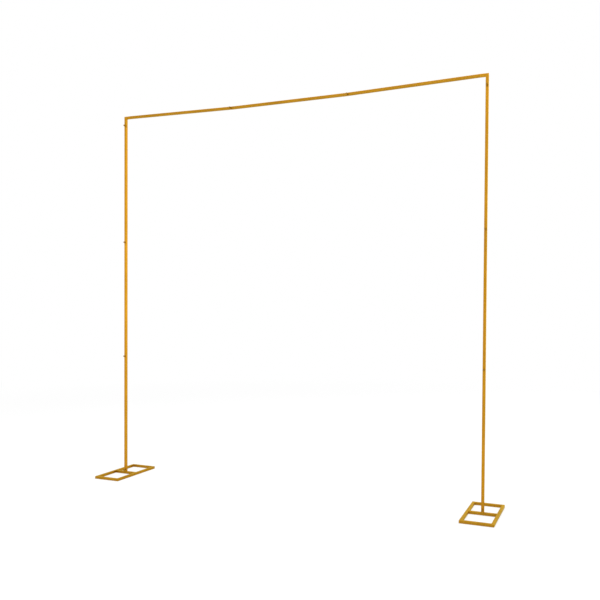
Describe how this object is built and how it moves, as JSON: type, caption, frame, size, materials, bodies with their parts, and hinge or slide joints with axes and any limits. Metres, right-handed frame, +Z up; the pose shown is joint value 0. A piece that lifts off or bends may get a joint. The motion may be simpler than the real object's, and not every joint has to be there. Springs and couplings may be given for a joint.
{
  "type": "wedding arch",
  "caption": "Free-standing square arch frame of thin gold tube: two posts plugged together from lengths, a top bar, corner elbows and two low rectangular base frames.",
  "frame": {"origin": "on the floor, midway between the two posts", "axes": "+X along the top bar, +Y from the front to the back, +Z up"},
  "size_m": [3.222, 0.491, 3],
  "materials": {
    "post_paint": "satin gold powder coat",
    "bar_paint": "satin gold powder coat",
    "elbow_paint": "satin gold powder coat over ground welds",
    "base_paint": "satin gold powder coat over ground welds",
    "spigot_steel": "plain drawn steel tube"
  },
  "bodies": {
    "root": {"left_base_front_rail": "base_paint", "left_base_back_rail": "base_paint", "left_base_outer_rail": "base_paint", "left_base_inner_rail": "base_paint", "left_base_cross_bar": "base_paint", "left_base_spigot": "spigot_steel", "left_post_lower": "post_paint", "left_post_middle": "post_paint", "left_post_upper": "post_paint", "left_post_lower_spigot": "spigot_steel", "left_post_upper_spigot": "spigot_steel", "left_elbow": "elbow_paint", "left_elbow_post_spigot": "spigot_steel", "left_elbow_bar_spigot": "spigot_steel", "right_base_front_rail": "base_paint", "right_base_back_rail": "base_paint", "right_base_outer_rail": "base_paint", "right_base_inner_rail": "base_paint", "right_base_cross_bar": "base_paint", "right_base_spigot": "spigot_steel", "right_post_lower": "post_paint", "right_post_middle": "post_paint", "right_post_upper": "post_paint", "right_post_lower_spigot": "spigot_steel", "right_post_upper_spigot": "spigot_steel", "right_elbow": "elbow_paint", "right_elbow_post_spigot": "spigot_steel", "right_elbow_bar_spigot": "spigot_steel", "top_bar_left": "bar_paint", "top_bar_middle": "bar_paint", "top_bar_right": "bar_paint", "top_bar_left_spigot": "spigot_steel", "top_bar_right_spigot": "spigot_steel"}
  },
  "joints": []
}
